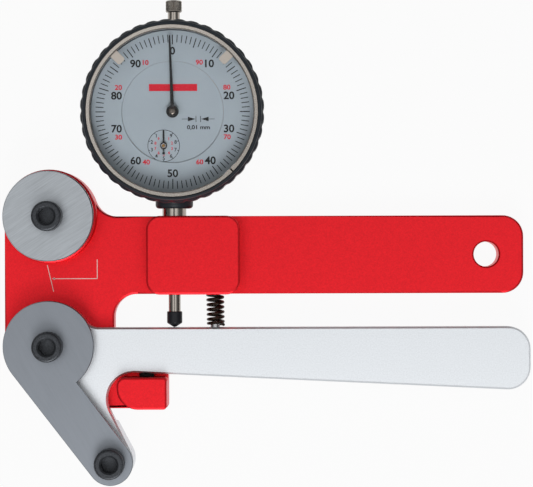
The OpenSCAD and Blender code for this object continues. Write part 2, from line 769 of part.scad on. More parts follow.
module inner_dial() color("lightsteelblue") on_dial(inner_dial_z) {
    feet_l = inner_dial_z - plate_z - movement_plate_t;
    difference() {
        cylinder(r = inner_dial_r, h = dial_t);
        for (p = [[0, 0], [arbor_x, arbor_y]]) translate([p.x, p.y, -eps])
            cylinder(d = arbor_d + 4 * face_gap, h = dial_t + 2 * eps);
    }
    for (x = [-dial_foot_x, dial_foot_x]) translate([x, 0, -feet_l])
        cylinder(d = dial_foot_d, h = feet_l + eps);
}

// Flat spiral round the hairspring wheel's collet, and the stud that holds its outer end
module hairspring() color("steelblue") on_dial() translate([-arbor_x, -arbor_y, 0]) {
    steps = 24;
    strip_z = wheel_z + wheel_t + 0.3;
    last = hairspring_turns * steps;
    inner_r = [for (i = [0:last]) collet_r + 0.1 + hairspring_pitch * i / steps];
    outer_r = inner_r[last] + hairspring_strip / 2;
    translate([0, 0, strip_z]) linear_extrude(hairspring_w) polygon(concat(
        [for (i = [0:last]) polar(inner_r[i], 360 * i / steps)],
        [for (i = [last:-1:0]) polar(inner_r[i] + hairspring_strip, 360 * i / steps)]));
    translate([outer_r, 0, strip_z]) cylinder(d = hairspring_stud_d, h = plate_z - strip_z);
}

module gauge_spring() color("silver")
    on_dial(axis_z) translate([gauge_spring_x, gauge_spring_y, 0])
        coil(gauge_spring_d, gauge_spring_wire, guide_pin_y - gauge_spring_y
            - guide_pin_d / 2 - face_gap, gauge_spring_turns);

// Spindle: rod with its rack, the pin that keeps it from turning, contact tip and lifting knob
module rack_cutter() {
    tip_x = -rack_line - addendum * rack_module;
    root_x = -rack_line + dedendum * rack_module;
    flank = tan(20) * rack_module;
    half_gap = rack_pitch * (1 - tooth_share) / 2;
    bottom = arbor_y - (rack_below + 0.9) * rack_pitch;
    top = arbor_y + (rack_above + 0.9) * rack_pitch;
    polygon(concat([[-spindle_d, top], [-spindle_d, bottom], [tip_x, bottom]],
        [for (k = [-rack_below:rack_above]) let (y = arbor_y + k * rack_pitch) each [
            [tip_x, y - half_gap - flank * addendum], [root_x, y - half_gap + flank * dedendum],
            [root_x, y + half_gap - flank * dedendum], [tip_x, y + half_gap + flank * addendum]]],
        [[tip_x, top]]));
}

module plunger_rod() color("gainsboro") difference() {
    stud_l = knob_h - 1.2;
    union() {
        along_y(stem_x, tip_top) cylinder(d = spindle_d, h = knob_bottom - tip_top);
        along_y(stem_x, knob_bottom - eps) cylinder(d = knob_stud_d, h = stud_l + eps);
    }
    on_dial(axis_z - spindle_d) linear_extrude(2 * spindle_d) rack_cutter();
    along_y(stem_x, tip_top - eps) cylinder(d = tip_stud_d + 2 * seat_fit, h = tip_stud_l + 0.5);
    on_dial(axis_z) translate([guide_pin_start - 0.1, guide_pin_y, 0]) rotate([0, 90, 0])
        cylinder(d = guide_pin_d + 2 * seat_fit, h = spindle_d);
}

module guide_pin() color("silver")
    on_dial(axis_z) translate([guide_pin_start, guide_pin_y, 0]) rotate([0, 90, 0])
        cylinder(d = guide_pin_d, h = guide_pin_l - guide_pin_start);

module contact_tip() color("black") along_y(stem_x, tip_bottom) {
    cone_h = 1.6;
    nose_r = 1.2;
    rotate_extrude() intersection() {
        union() {
            translate([0, nose_r]) circle(nose_r);
            polygon([[0, nose_r], [nose_r, nose_r], [tip_d / 2, cone_h + nose_r],
                [tip_d / 2, tip_l - 0.3], [tip_d / 2 - 0.3, tip_l], [0, tip_l]]);
        }
        square([tip_d, tip_l]);
    }
    translate([0, 0, tip_l - eps]) cylinder(d = tip_stud_d, h = tip_stud_l);
}

module lift_knob() color("silver") along_y(stem_x, knob_bottom) difference() {
    chamfered_disc(knob_d / 2, knob_h, 0.6);
    translate([0, 0, -eps]) cylinder(d = knob_stud_d + 2 * seat_fit, h = knob_h - 1);
}

// Spur gear outline with a tooth on the angle toward
module gear_outline(teeth, size, toward) {
    r = teeth * size / 2;
    tip_r = r + addendum * size;
    root_r = r - dedendum * size;
    half = 180 * tooth_share / teeth;
    tip_half = half - tan(20) * (tip_r - r) / tip_r * 180 / PI;
    root_half = half + tan(20) * (r - root_r) / r * 90 / PI;
    polygon([for (i = [0:teeth - 1]) let (a = toward + 360 * i / teeth) each [
        polar(root_r, a - root_half), polar(r, a - half), polar(tip_r, a - tip_half),
        polar(tip_r, a + tip_half), polar(r, a + half), polar(root_r, a + root_half)]]);
}

// Thin wheel with four arms
module wheel(toward) linear_extrude(wheel_t) {
    rim_r = wheel_teeth * wheel_module / 2 - wheel_rim_w;
    difference() {
        gear_outline(wheel_teeth, wheel_module, toward);
        difference() {
            circle(rim_r);
            circle(wheel_hub_r);
            for (a = [0, 90]) rotate(toward + 45 + a)
                square([2 * rim_r + 1, wheel_spoke_w], center = true);
        }
    }
}

module counter_arbor() color("gainsboro") on_dial() translate([arbor_x, arbor_y, 0]) {
    arbor_bottom = bridge_z + bridge_t + end_play / 2;
    translate([0, 0, bridge_z]) cylinder(d = pivot_d, h = bridge_t + end_play);
    translate([0, 0, arbor_bottom])
        cylinder(d = arbor_d, h = counter_hand_z + hand_t + 0.3 - arbor_bottom);
    translate([0, 0, rack_pinion_z]) linear_extrude(rack_pinion_w)
        gear_outline(rack_teeth, rack_module, 0);
}

module counter_wheel() color("gold")
    on_dial(wheel_z) translate([arbor_x, arbor_y, 0]) difference() {
        wheel(train_angle);
        translate([0, 0, -eps]) cylinder(d = arbor_d + 2 * eps, h = wheel_t + 2 * eps);
    }

module counter_hand() color("black") on_dial(counter_hand_z)
    translate([arbor_x, arbor_y, 0]) linear_extrude(hand_t) difference() {
        union() {
            circle(counter_hub_r);
            translate([-counter_hand_w / 2, 0]) square([counter_hand_w, counter_hand_l]);
            translate([-counter_hand_w / 4, -counter_tail_l])
                square([counter_hand_w / 2, counter_tail_l]);
            translate([0, -counter_tail_l]) circle(0.84 * counter_hand_w);
        }
        circle(d = arbor_d + 2 * eps);
    }

module centre_pinion() color("gainsboro") on_dial() {
    arbor_bottom = floor_z + floor_t + end_play;
    translate([0, 0, arbor_bottom - floor_t - end_play / 2])
        cylinder(d = pivot_d, h = floor_t + end_play);
    translate([0, 0, arbor_bottom])
        cylinder(d = arbor_d, h = main_hand_z + hand_t + 0.5 - arbor_bottom);
    translate([0, 0, wheel_z - 0.3]) linear_extrude(wheel_t + 0.7)
        gear_outline(pinion_teeth, wheel_module, train_angle + 180 / pinion_teeth);
}

module main_hand() color("black") on_dial(main_hand_z) difference() {
    linear_extrude(hand_t) rotate(hand_rest) {
        circle(hand_hub_r);
        polygon([[-hand_root_w / 2, 0], [hand_root_w / 2, 0], [hand_tip_w / 2, hand_l],
            [-hand_tip_w / 2, hand_l]]);
    }
    translate([0, 0, -eps]) cylinder(d = arbor_d + 2 * eps, h = hand_t + 2 * eps);
}

module hairspring_wheel() color("gold") on_dial() translate([-arbor_x, -arbor_y, 0]) {
    arbor_bottom = floor_z + floor_t + end_play;
    pivot_bottom = floor_z + end_play / 2;
    translate([0, 0, wheel_z]) wheel(train_angle);
    translate([0, 0, arbor_bottom])
        cylinder(d = arbor_d, h = plate_z - end_play - arbor_bottom);
    translate([0, 0, pivot_bottom])
        cylinder(d = pivot_d, h = plate_z + movement_plate_t - end_play / 2 - pivot_bottom);
    translate([0, 0, wheel_z + wheel_t - eps]) cylinder(r = collet_r, h = collet_h);
}

// Bezel, which turns on the case with the outer dial, crystal and bright ring
module scalloped_outline() {
    steps = 6 * scallops;
    polygon([for (i = [0:steps - 1]) let (a = 360 * i / steps)
        polar(bezel_r - scallop_depth * (1 - cos(scallops * a)) / 2, a)]);
}

module bezel_ring() color("dimgray") on_dial() difference() {
    band_top = crystal_z + 0.2;
    union() {
        translate([0, 0, skirt_z]) linear_extrude(band_top - skirt_z)
            rotate(scallop_turn) scalloped_outline();
        translate([0, 0, skirt_z + 1])
            chamfered_disc(smooth_r, bezel_front - skirt_z - 1, 0.6);
    }
    translate([0, 0, skirt_z - eps])
        cylinder(r = skirt_r, h = case_front + rim_gap - skirt_z + eps);
    translate([0, 0, skirt_z]) cylinder(r = shelf_r, h = scale_z - skirt_z + eps);
    translate([0, 0, scale_z]) cylinder(r = bezel_bore_r, h = crystal_z - scale_z + eps);
    translate([0, 0, crystal_z]) cylinder(r = ring_outer_r + seat_fit, h = bezel_front);
}

module scale_ring() color("lightsteelblue") on_dial(scale_z) difference() {
    cylinder(r = bezel_bore_r - seat_fit, h = dial_t);
    translate([0, 0, -eps]) cylinder(r = inner_dial_r + 2 * run_fit, h = dial_t + 2 * eps);
}

module crystal() color("aliceblue", 0.4)
    on_dial(crystal_z) cylinder(r = ring_outer_r - seat_fit, h = crystal_t);

module retaining_ring() color("silver") on_dial(crystal_z + crystal_t) difference() {
    foot_r = ring_outer_r - ring_foot_w;
    rise = lip_z - crystal_z - crystal_t;
    cylinder(r = ring_outer_r, h = bezel_front - crystal_z - crystal_t);
    translate([0, 0, -eps]) cylinder(r = foot_r, h = rise + eps);
    translate([0, 0, -eps]) cylinder(r = ring_inner_r, h = bezel_front);
    rotate(-45) translate([ring_inner_r - eps, -ring_slit / 2, -eps])
        cube([2 * ring_w, ring_slit, bezel_front]);
}

// Sheet metal tolerance marker whose foot slides in the groove under the bright ring
module marker(angle) on_dial(crystal_z + crystal_t + marker_gap / 2) rotate(angle)
    linear_extrude(marker_t) intersection() {
        translate([ring_inner_r - marker_reach, -marker_w / 2]) {
            translate([marker_r, 0]) square([2 * marker_reach, marker_w]);
            translate([0, marker_r]) square([2 * marker_reach, marker_w - 2 * marker_r]);
            for (y = [marker_r, marker_w - marker_r]) translate([marker_r, y]) circle(marker_r);
        }
        circle(ring_outer_r - ring_foot_w - marker_gap);
    }

module marker_left() color("tan") marker(90 + marker_angle);

module marker_right() color("tan") marker(90 - marker_angle);

frame_plate();
upper_disc();
upper_bush();
upper_screw();
pivot_screw();
pivot_sleeve();
stop_screw();
stop_pad();
stem_clamp_screw();
lever_bar();
lever_bearing();
pivot_bush();
arm_plate();
lower_bush();
lower_screw();
spring_peg();
return_spring();
gauge_stem();
gauge_case();
case_back();
case_back_screws();
plunger_bushes();
rear_bridge();
movement_plate();
movement_pillars();
inner_dial();
hairspring();
gauge_spring();
plunger_rod();
guide_pin();
contact_tip();
lift_knob();
counter_arbor();
counter_wheel();
counter_hand();
centre_pinion();
main_hand();
hairspring_wheel();
bezel_ring();
scale_ring();
crystal();
retaining_ring();
marker_left();
marker_right();
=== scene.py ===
"""Looks of the spoke tension meter: finishes, engraved and printed marks, and the pieces that need
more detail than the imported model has. It is laid out as an add-on and run as a script."""

import math

import bmesh
import bpy
from bpy.props import FloatProperty, FloatVectorProperty, IntProperty, PointerProperty
from mathutils import Euler, Matrix, Vector


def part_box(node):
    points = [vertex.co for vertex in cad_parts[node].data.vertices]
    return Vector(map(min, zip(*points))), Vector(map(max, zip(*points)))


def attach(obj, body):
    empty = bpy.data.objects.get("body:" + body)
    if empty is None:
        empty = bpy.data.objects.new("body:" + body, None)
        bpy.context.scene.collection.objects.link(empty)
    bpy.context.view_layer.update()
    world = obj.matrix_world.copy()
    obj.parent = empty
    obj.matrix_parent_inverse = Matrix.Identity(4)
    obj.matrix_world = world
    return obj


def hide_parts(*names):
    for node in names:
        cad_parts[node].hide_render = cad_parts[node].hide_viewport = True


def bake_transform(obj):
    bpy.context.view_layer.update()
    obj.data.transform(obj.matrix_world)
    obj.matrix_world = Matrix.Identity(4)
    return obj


bl_info = {
    "name": "Spoke tension meter",
    "version": (1, 0, 0),
    "blender": (4, 5, 0),
    "location": "3D View > Sidebar > Tension meter",
    "description": "Dresses the packed model of a spoke tension meter",
    "category": "Object",
}

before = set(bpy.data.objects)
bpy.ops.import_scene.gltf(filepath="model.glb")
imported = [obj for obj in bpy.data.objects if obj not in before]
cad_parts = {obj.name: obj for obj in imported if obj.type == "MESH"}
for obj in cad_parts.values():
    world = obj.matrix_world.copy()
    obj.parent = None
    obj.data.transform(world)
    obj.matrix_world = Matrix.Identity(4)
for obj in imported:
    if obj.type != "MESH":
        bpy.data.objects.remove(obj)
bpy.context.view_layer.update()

MM = 0.001
TURN = 2 * math.pi
# Edges sharper than this stay crisp
SHARP = math.radians(18)
# A face larger than this is flat in itself, so its shading takes nothing from its neighbours
LARGE_FLAT = 25 * MM**2


def linear(code):
    """Linear colour of an sRGB hex value such as #E62D34."""
    channels = [int(code[i : i + 2], 16) / 255 for i in (1, 3, 5)]
    return tuple(
        c / 12.92 if c <= 0.04045 else ((c + 0.055) / 1.055) ** 2.4 for c in channels
    )


def low(node):
    """Lowest corner of a CAD node's box, in millimetres."""
    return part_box(node)[0] / MM


def high(node):
    """Highest corner of a CAD node's box, in millimetres."""
    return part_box(node)[1] / MM


def middle(node):
    """Centre of a CAD node's box, in millimetres."""
    return (low(node) + high(node)) / 2


# Places that more than one piece needs, in millimetres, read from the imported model
DIAL = middle("crystal")
COUNTER = middle("counter_wheel")
SCALE_TOP = high("scale_ring").z
INNER_TOP = high("inner_dial").z
PLATE_TOP = low("pivot_sleeve").z


# ---------------------------------------------------------------- settings


class MeterSizes(bpy.types.PropertyGroup):
    """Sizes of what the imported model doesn't hold."""

    edge_chamfer: FloatProperty(
        name="Edge chamfer",
        description="Width of the chamfer along the frame's and the lever's edges",
        default=0.6 * MM,
        min=0.2 * MM,
        max=0.8 * MM,
        unit="LENGTH",
        precision=5,
    )
    sheet_chamfer: FloatProperty(
        name="Sheet edge",
        description="Width of the rounding along the arm plate's and the discs' edges",
        default=0.2 * MM,
        min=0.05 * MM,
        max=0.4 * MM,
        unit="LENGTH",
        precision=5,
    )
    engraving_width: FloatProperty(
        name="Engraved line",
        description="Width of the lines engraved on the frame",
        default=0.26 * MM,
        min=0.1 * MM,
        max=0.6 * MM,
        unit="LENGTH",
        precision=5,
    )
    print_height: FloatProperty(
        name="Ink height",
        description="Height of the printing ink on the dials",
        default=0.02 * MM,
        min=0.01 * MM,
        max=0.1 * MM,
        unit="LENGTH",
        precision=5,
    )
    tick_width: FloatProperty(
        name="Tick width",
        description="Width of the dial's division marks",
        default=0.27 * MM,
        min=0.1 * MM,
        max=0.5 * MM,
        unit="LENGTH",
        precision=5,
    )
    numeral_height: FloatProperty(
        name="Numeral height",
        description="Height of the black numerals on the outer dial",
        default=2.6 * MM,
        min=1.5 * MM,
        max=3.5 * MM,
        unit="LENGTH",
        precision=5,
    )
    divisions: IntProperty(
        name="Divisions",
        description="Number of divisions round the outer dial",
        default=100,
        min=50,
        max=200,
    )


class MeterColours(bpy.types.PropertyGroup):
    """Colours of the finishes."""

    anodising: FloatVectorProperty(
        name="Anodising",
        description="Colour of the frame's dyed anodising",
        subtype="COLOR",
        default=linear("#E5222B"),
        min=0,
        max=1,
    )
    lever: FloatVectorProperty(
        name="Lever",
        description="Colour of the lever's clear anodising",
        subtype="COLOR",
        default=linear("#E3E7EB"),
        min=0,
        max=1,
    )
    dial: FloatVectorProperty(
        name="Dial",
        description="Colour of the dials' enamel",
        subtype="COLOR",
        default=linear("#949FA7"),
        min=0,
        max=1,
    )
    black_ink: FloatVectorProperty(
        name="Black ink",
        description="Colour of the dials' dark print",
        subtype="COLOR",
        default=linear("#0E0F11"),
        min=0,
        max=1,
    )
    red_ink: FloatVectorProperty(
        name="Red ink",
        description="Colour of the dials' red print",
        subtype="COLOR",
        default=linear("#C2142A"),
        min=0,
        max=1,
    )


def sizes():
    return bpy.context.scene.meter_sizes


def colours():
    return bpy.context.scene.meter_colours


# ---------------------------------------------------------------- materials


# Range of the noise that most of a surface falls in
SPREAD = (0.3, 0.7)


def add(tree, kind, settings=None, **sockets):
    """Adds a node. Settings are its properties. Each socket, with _ for a space in its name,
    takes a value or another node's output."""
    node = tree.nodes.new(kind)
    for name, value in (settings or {}).items():
        setattr(node, name, value)
    for name, value in sockets.items():
        socket = node.inputs[int(name[1:]) if name[1:].isdigit() else name.replace("_", " ")]
        if isinstance(value, bpy.types.NodeSocket):
            tree.links.new(value, socket)
        else:
            socket.default_value = value
    return node


def maths(tree, operation, first, second):
    """Output of a Math node."""
    return add(
        tree, "ShaderNodeMath", {"operation": operation}, _0=first, _1=second
    ).outputs[0]


def ramp(tree, value, start, end, at_start, at_end):
    """Output of a Map Range node, which holds its end values outside the range."""
    return add(
        tree,
        "ShaderNodeMapRange",
        Value=value,
        From_Min=start,
        From_Max=end,
        To_Min=at_start,
        To_Max=at_end,
    ).outputs["Result"]


def finish(name, colour, roughness, metallic=0.0, **constants):
    """New material with one Principled node, which is returned with the tree."""
    material = bpy.data.materials.new(name)
    material.use_nodes = True
    tree = material.node_tree
    tree.nodes.clear()
    shader = add(
        tree,
        "ShaderNodeBsdfPrincipled",
        Base_Color=(*colour, 1),
        Roughness=roughness,
        Metallic=metallic,
        **constants,
    )
    add(tree, "ShaderNodeOutputMaterial", Surface=shader.outputs["BSDF"])
    return material, tree, shader


def grain(tree, scale, detail=3.0, turn=0.0):
    """Noise on Object coordinates. The scale is in features a metre, along each axis, and the
    turn is about Z."""
    place = add(
        tree,
        "ShaderNodeMapping",
        {"vector_type": "TEXTURE"},
        Vector=add(tree, "ShaderNodeTexCoord").outputs["Object"],
        Rotation=(0, 0, turn),
        Scale=tuple(1 / s for s in scale),
    )
    return add(
        tree,
        "ShaderNodeTexNoise",
        Vector=place.outputs["Vector"],
        Scale=1.0,
        Detail=detail,
        Roughness=0.6,
    ).outputs["Fac"]


def vary(tree, shader, socket, fac, at_low, at_high):
    """Lets a pattern move one of the shader's values between two ends."""
    tree.links.new(ramp(tree, fac, *SPREAD, at_low, at_high), shader.inputs[socket])


def tint(tree, shader, fac, dark, light):
    """Lets a pattern move the colour between a darker and a lighter one."""
    colours_node = add(tree, "ShaderNodeValToRGB", Fac=fac)
    for element, position, colour in zip(
        colours_node.color_ramp.elements, SPREAD, (dark, light)
    ):
        element.position = position
        element.color = (*colour, 1)
    tree.links.new(colours_node.outputs["Color"], shader.inputs["Base Color"])


def relief(tree, shader, fac, depth):
    """Lets a pattern raise the surface by a depth in millimetres."""
    bump = add(tree, "ShaderNodeBump", Height=fac, Distance=depth * MM, Strength=1.0)
    tree.links.new(bump.outputs["Normal"], shader.inputs["Normal"])


def shade(colour, share):
    """The same colour, darker or lighter by a share."""
    return tuple(min(1.0, c * share) for c in colour)


def per_mm(*features):
    """Features a metre for features a millimetre."""
    return tuple(f / MM for f in features)


def red_anodised_aluminium():
    """Blasted, then dyed in the anodic layer: a deep even red with a soft metallic lift."""
    red = tuple(colours().anodising)
    material, tree, shader = finish("red_anodised_aluminium", red, 0.38, 0.85)
    blast = grain(tree, per_mm(2.2, 2.2, 2.2), detail=6)
    tint(tree, shader, blast, shade(red, 0.88), shade(red, 1.1))
    vary(tree, shader, "Roughness", blast, 0.35, 0.42)
    relief(tree, shader, grain(tree, per_mm(6, 6, 6)), 0.006)
    return material


def clear_anodised_aluminium():
    """Fine milled and blasted, clear anodised: pale, satin and finely speckled."""
    pale = tuple(colours().lever)
    material, tree, shader = finish("clear_anodised_aluminium", pale, 0.38, 0.85)
    speckle = grain(tree, per_mm(2.2, 2.2, 2.2), detail=6)
    tint(tree, shader, speckle, shade(pale, 0.93), shade(pale, 1.05))
    vary(tree, shader, "Roughness", speckle, 0.35, 0.42)
    relief(tree, shader, grain(tree, per_mm(6, 6, 6)), 0.004)
    return material


def belt_ground_steel(name, code, turn, depth, roughness=0.4):
    """Steel sheet ground on a belt: strokes of a tenth of a millimetre in one direction. They are
    drawn at 0.3 mm, because finer ones don't show. The depth is how far the strokes stand out."""
    steel = linear(code)
    material, tree, shader = finish(name, steel, roughness, 1.0)
    strokes = grain(tree, per_mm(0.1, 3.3, 3.3), detail=6, turn=turn)
    clouds = grain(tree, per_mm(0.12, 0.4, 0.4), detail=2, turn=turn)
    mixed = add(
        tree,
        "ShaderNodeMix",
        {"data_type": "FLOAT"},
        Factor=0.2,
        A=strokes,
        B=clouds,
    ).outputs["Result"]
    tint(tree, shader, mixed, shade(steel, 1 - depth), shade(steel, 1 + depth))
    vary(tree, shader, "Roughness", strokes, roughness - 0.05, roughness + 0.07)
    relief(tree, shader, strokes, 0.02 * depth)
    return material


def turned_metal(name, code, roughness, metallic=1.0):
    """Turned and lightly polished: even, with a grain too fine to follow."""
    colour = linear(code)
    material, tree, shader = finish(name, colour, roughness, metallic)
    marks = grain(tree, per_mm(4, 4, 4), detail=5)
    tint(tree, shader, marks, shade(colour, 0.95), shade(colour, 1.04))
    vary(tree, shader, "Roughness", marks, roughness - 0.03, roughness + 0.04)
    return material


def black_oxide_steel():
    """Blackened and oiled steel: nearly black, with a low oily gloss and paler worn grain."""
    black = linear("#35373B")
    material, tree, shader = finish("black_oxide_steel", black, 0.4, 0.7)
    wear = grain(tree, per_mm(2.5, 2.5, 2.5), detail=6)
    tint(tree, shader, wear, linear("#26282B"), linear("#4A4D52"))
    vary(tree, shader, "Roughness", wear, 0.32, 0.5)
    relief(tree, shader, grain(tree, per_mm(8, 8, 8)), 0.004)
    return material


def black_spring_wire():
    """Oil tempered spring wire: black with a thin warm sheen along each curl."""
    black = linear("#201713")
    material, tree, shader = finish("black_spring_wire", black, 0.3, 0.7)
    scale = grain(tree, per_mm(3, 3, 3), detail=4)
    tint(tree, shader, scale, linear("#120D0B"), linear("#38271C"))
    vary(tree, shader, "Roughness", scale, 0.2, 0.34)
    return material


def moulded_black(name, code, roughness):
    """Moulded or enamelled black: a dark blue grey with a fine matt texture."""
    colour = linear(code)
    material, tree, shader = finish(name, colour, roughness, Specular_IOR_Level=0.2)
    texture = grain(tree, per_mm(6, 6, 6), detail=3)
    tint(tree, shader, texture, shade(colour, 0.85), shade(colour, 1.15))
    vary(tree, shader, "Roughness", texture, roughness - 0.06, roughness + 0.08)
    relief(tree, shader, texture, 0.004)
    return material


def dial_enamel():
    """Matt enamel on sheet: an even pale grey blue."""
    pale = tuple(colours().dial)
    material, tree, shader = finish("dial_enamel", pale, 0.62)
    film = grain(tree, per_mm(3, 3, 3), detail=2)
    tint(tree, shader, film, shade(pale, 0.985), shade(pale, 1.015))
    vary(tree, shader, "Roughness", film, 0.58, 0.68)
    return material


def printing_ink(name, colour):
    """Pad printed ink: flat and matt, a little thin in places."""
    material, tree, shader = finish(name, colour, 0.6, Specular_IOR_Level=0.2)
    film = grain(tree, per_mm(6, 6, 6), detail=2)
    tint(tree, shader, film, shade(colour, 0.95), shade(colour, 1.1))
    return material


def acrylic_glass():
    """Flat clear acrylic: it shows only by its gloss."""
    material, tree, shader = finish(
        "acrylic_glass", (1, 1, 1), 0.02, Transmission_Weight=1.0, IOR=1.49
    )
    haze = grain(tree, per_mm(0.4, 0.4, 0.4), detail=2)
    vary(tree, shader, "Roughness", haze, 0.0, 0.03)
    return material


def black_rubber():
    """Moulded rubber: matt and dusty black."""
    return moulded_black("black_rubber", "#18191A", 0.75)


# ---------------------------------------------------------------- shapes


def make_piece(name, bm, material, body, replaces=(), smooth=SHARP):
    """Turns a shape drawn in millimetres into a piece that rides on a CAD body."""
    bmesh.ops.scale(bm, vec=Vector((MM, MM, MM)), verts=bm.verts)
    mesh = bpy.data.meshes.new(name)
    bm.to_mesh(mesh)
    bm.free()
    mesh.shade_smooth()
    mesh.set_sharp_from_angle(angle=smooth)
    for face in mesh.polygons:
        face.use_smooth = face.area < LARGE_FLAT
    mesh.materials.append(material)
    piece = bpy.data.objects.new(name, mesh)
    bpy.context.scene.collection.objects.link(piece)
    if body:
        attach(piece, body)
    if replaces:
        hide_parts(*replaces)
    return piece


def lathe(profile, steps, closed=False):
    """Full turn about Z of the profile, given as (radius, height) pairs."""
    bm = bmesh.new()
    verts = [bm.verts.new((r, 0, z)) for r, z in profile]
    pairs = list(zip(verts, verts[1:]))
    if closed:
        pairs.append((verts[-1], verts[0]))
    edges = [bm.edges.new(pair) for pair in pairs]
    bmesh.ops.spin(
        bm,
        geom=verts + edges,
        cent=(0, 0, 0),
        axis=(0, 0, 1),
        angle=TURN,
        steps=steps,
        use_merge=True,
    )
    bmesh.ops.remove_doubles(bm, verts=bm.verts, dist=1e-4)
    bmesh.ops.recalc_face_normals(bm, faces=bm.faces)
    return bm


def cad_copy(node):
    """The CAD node's mesh in millimetres, with its triangles merged into flat faces."""
    bm = bmesh.new()
    bm.from_mesh(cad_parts[node].data)
    bmesh.ops.scale(bm, vec=Vector((1 / MM, 1 / MM, 1 / MM)), verts=bm.verts)
    bmesh.ops.remove_doubles(bm, verts=bm.verts, dist=2e-3)
    bmesh.ops.dissolve_limit(
        bm, angle_limit=math.radians(0.5), verts=bm.verts, edges=bm.edges
    )
    return bm


def outer_edges(bm, above=-1000.0):
    """Edges that stand out and lie above a height. Short ones that run into an inner corner are
    left out, because a bevel would fold over there."""
    turned, short = math.radians(60), 3.0
    angles = {e: e.calc_face_angle_signed(0) for e in bm.edges if e.is_manifold}
    inner = {v for e, a in angles.items() if a < -turned for v in e.verts}
    return [
        e
        for e, a in angles.items()
        if a > turned
        and min(v.co.z for v in e.verts) > above
        and not (inner.intersection(e.verts) and e.calc_length() < short)
    ]


def chamfer(bm, edges, width, segments=1):
    """Breaks the edges by the width, in millimetres."""
    bmesh.ops.bevel(
        bm,
        geom=edges,
        offset=width,
        offset_type="OFFSET",
        affect="EDGES",
        segments=segments,
        profile=0.5,
        material=-1,
        clamp_overlap=False,
    )


def lay_back(bm, tops, width):
    """Makes the outer half of the two-step rounding below each level flatter."""
    share, near = 0.52, 0.003
    for v in bm.verts:
        for top in tops:
            if abs(v.co.z - (top - width)) < near:
                v.co.z = top - share * width


def move_to(bm, place, turn=(0, 0, 0)):
    """Turns the shape about the origin, then moves it."""
    matrix = Matrix.Translation(Vector(place)) @ Euler(turn).to_matrix().to_4x4()
    bmesh.ops.transform(bm, matrix=matrix, verts=bm.verts)


def bar(bm, start, end, width, height, z):
    """Adds a flat bar between two points, for an engraved or printed line."""
    start, end = Vector(start), Vector(end)
    along = end - start
    matrix = (
        Matrix.Translation(((start.x + end.x) / 2, (start.y + end.y) / 2, z + height / 2))
        @ Matrix.Rotation(math.atan2(along.y, along.x), 4, "Z")
        @ Matrix.Diagonal((along.length, width, height, 1))
    )
    bmesh.ops.create_cube(bm, size=1, matrix=matrix)


def arrowhead(bm, base, tip, half, height, z):
    """Adds a flat triangle that points from base to tip."""
    base, tip = Vector(base), Vector(tip)
    along = tip - base
    middle_point = base + along / 3
    matrix = (
        Matrix.Translation((middle_point.x, middle_point.y, z + height / 2))
        @ Matrix.Rotation(math.atan2(along.y, along.x) - math.pi / 2, 4, "Z")
        @ Matrix.Diagonal((half / math.cos(math.radians(30)), along.length / 1.5, height, 1))
    )
    bmesh.ops.create_cone(
        bm, cap_ends=True, segments=3, radius1=1, radius2=1, depth=1, matrix=matrix
    )


def flat_ring(bm, centre, radius, width, height, z, steps=96):
    """Adds a low ring."""
    ring = lathe(
        [
            (radius - width / 2, 0),
            (radius + width / 2, 0),
            (radius + width / 2, height),
            (radius - width / 2, height),
        ],
        steps,
        closed=True,
    )
    move_to(ring, (centre[0], centre[1], z))
    join(bm, ring)


def join(bm, other):
    """Adds another shape and frees it."""
    mesh = bpy.data.meshes.new("joined")
    other.to_mesh(mesh)
    other.free()
    bm.from_mesh(mesh)
    bpy.data.meshes.remove(mesh)


def lettering(bm, words, centre, height, stretch, z, thickness, bold=0.026):
    """Adds raised words of that height, centred on a point and stretched sideways by a factor."""
    curve = bpy.data.curves.new("lettering", "FONT")
    curve.body = words
    curve.resolution_u = 4
    curve.extrude = 0.5
    curve.offset = bold
    holder = bpy.data.objects.new("lettering", curve)
    bpy.context.scene.collection.objects.link(holder)
    bpy.context.view_layer.update()
    mesh = bpy.data.meshes.new_from_object(holder)
    bpy.data.objects.remove(holder)
    bpy.data.curves.remove(curve)
    xs = [v.co.x for v in mesh.vertices]
    ys = [v.co.y for v in mesh.vertices]
    tall = max(ys) - min(ys)
    mesh.transform(
        Matrix.Translation((centre[0], centre[1], z + thickness / 2))
        @ Matrix.Diagonal((stretch * height / tall, height / tall, thickness, 1))
        @ Matrix.Translation((-(max(xs) + min(xs)) / 2, -(max(ys) + min(ys)) / 2, 0))
    )
    bm.from_mesh(mesh)
    bpy.data.meshes.remove(mesh)


def on_dial(x, y):
    """Place in the frame of a point given from the dial's centre."""
    return (DIAL.x + x, DIAL.y + y)


def around(centre, radius, degrees):
    """Point at a radius and at an angle clockwise from the top."""
    a = math.radians(90 - degrees)
    return (centre[0] + radius * math.cos(a), centre[1] + radius * math.sin(a))


# ---------------------------------------------------------------- operators


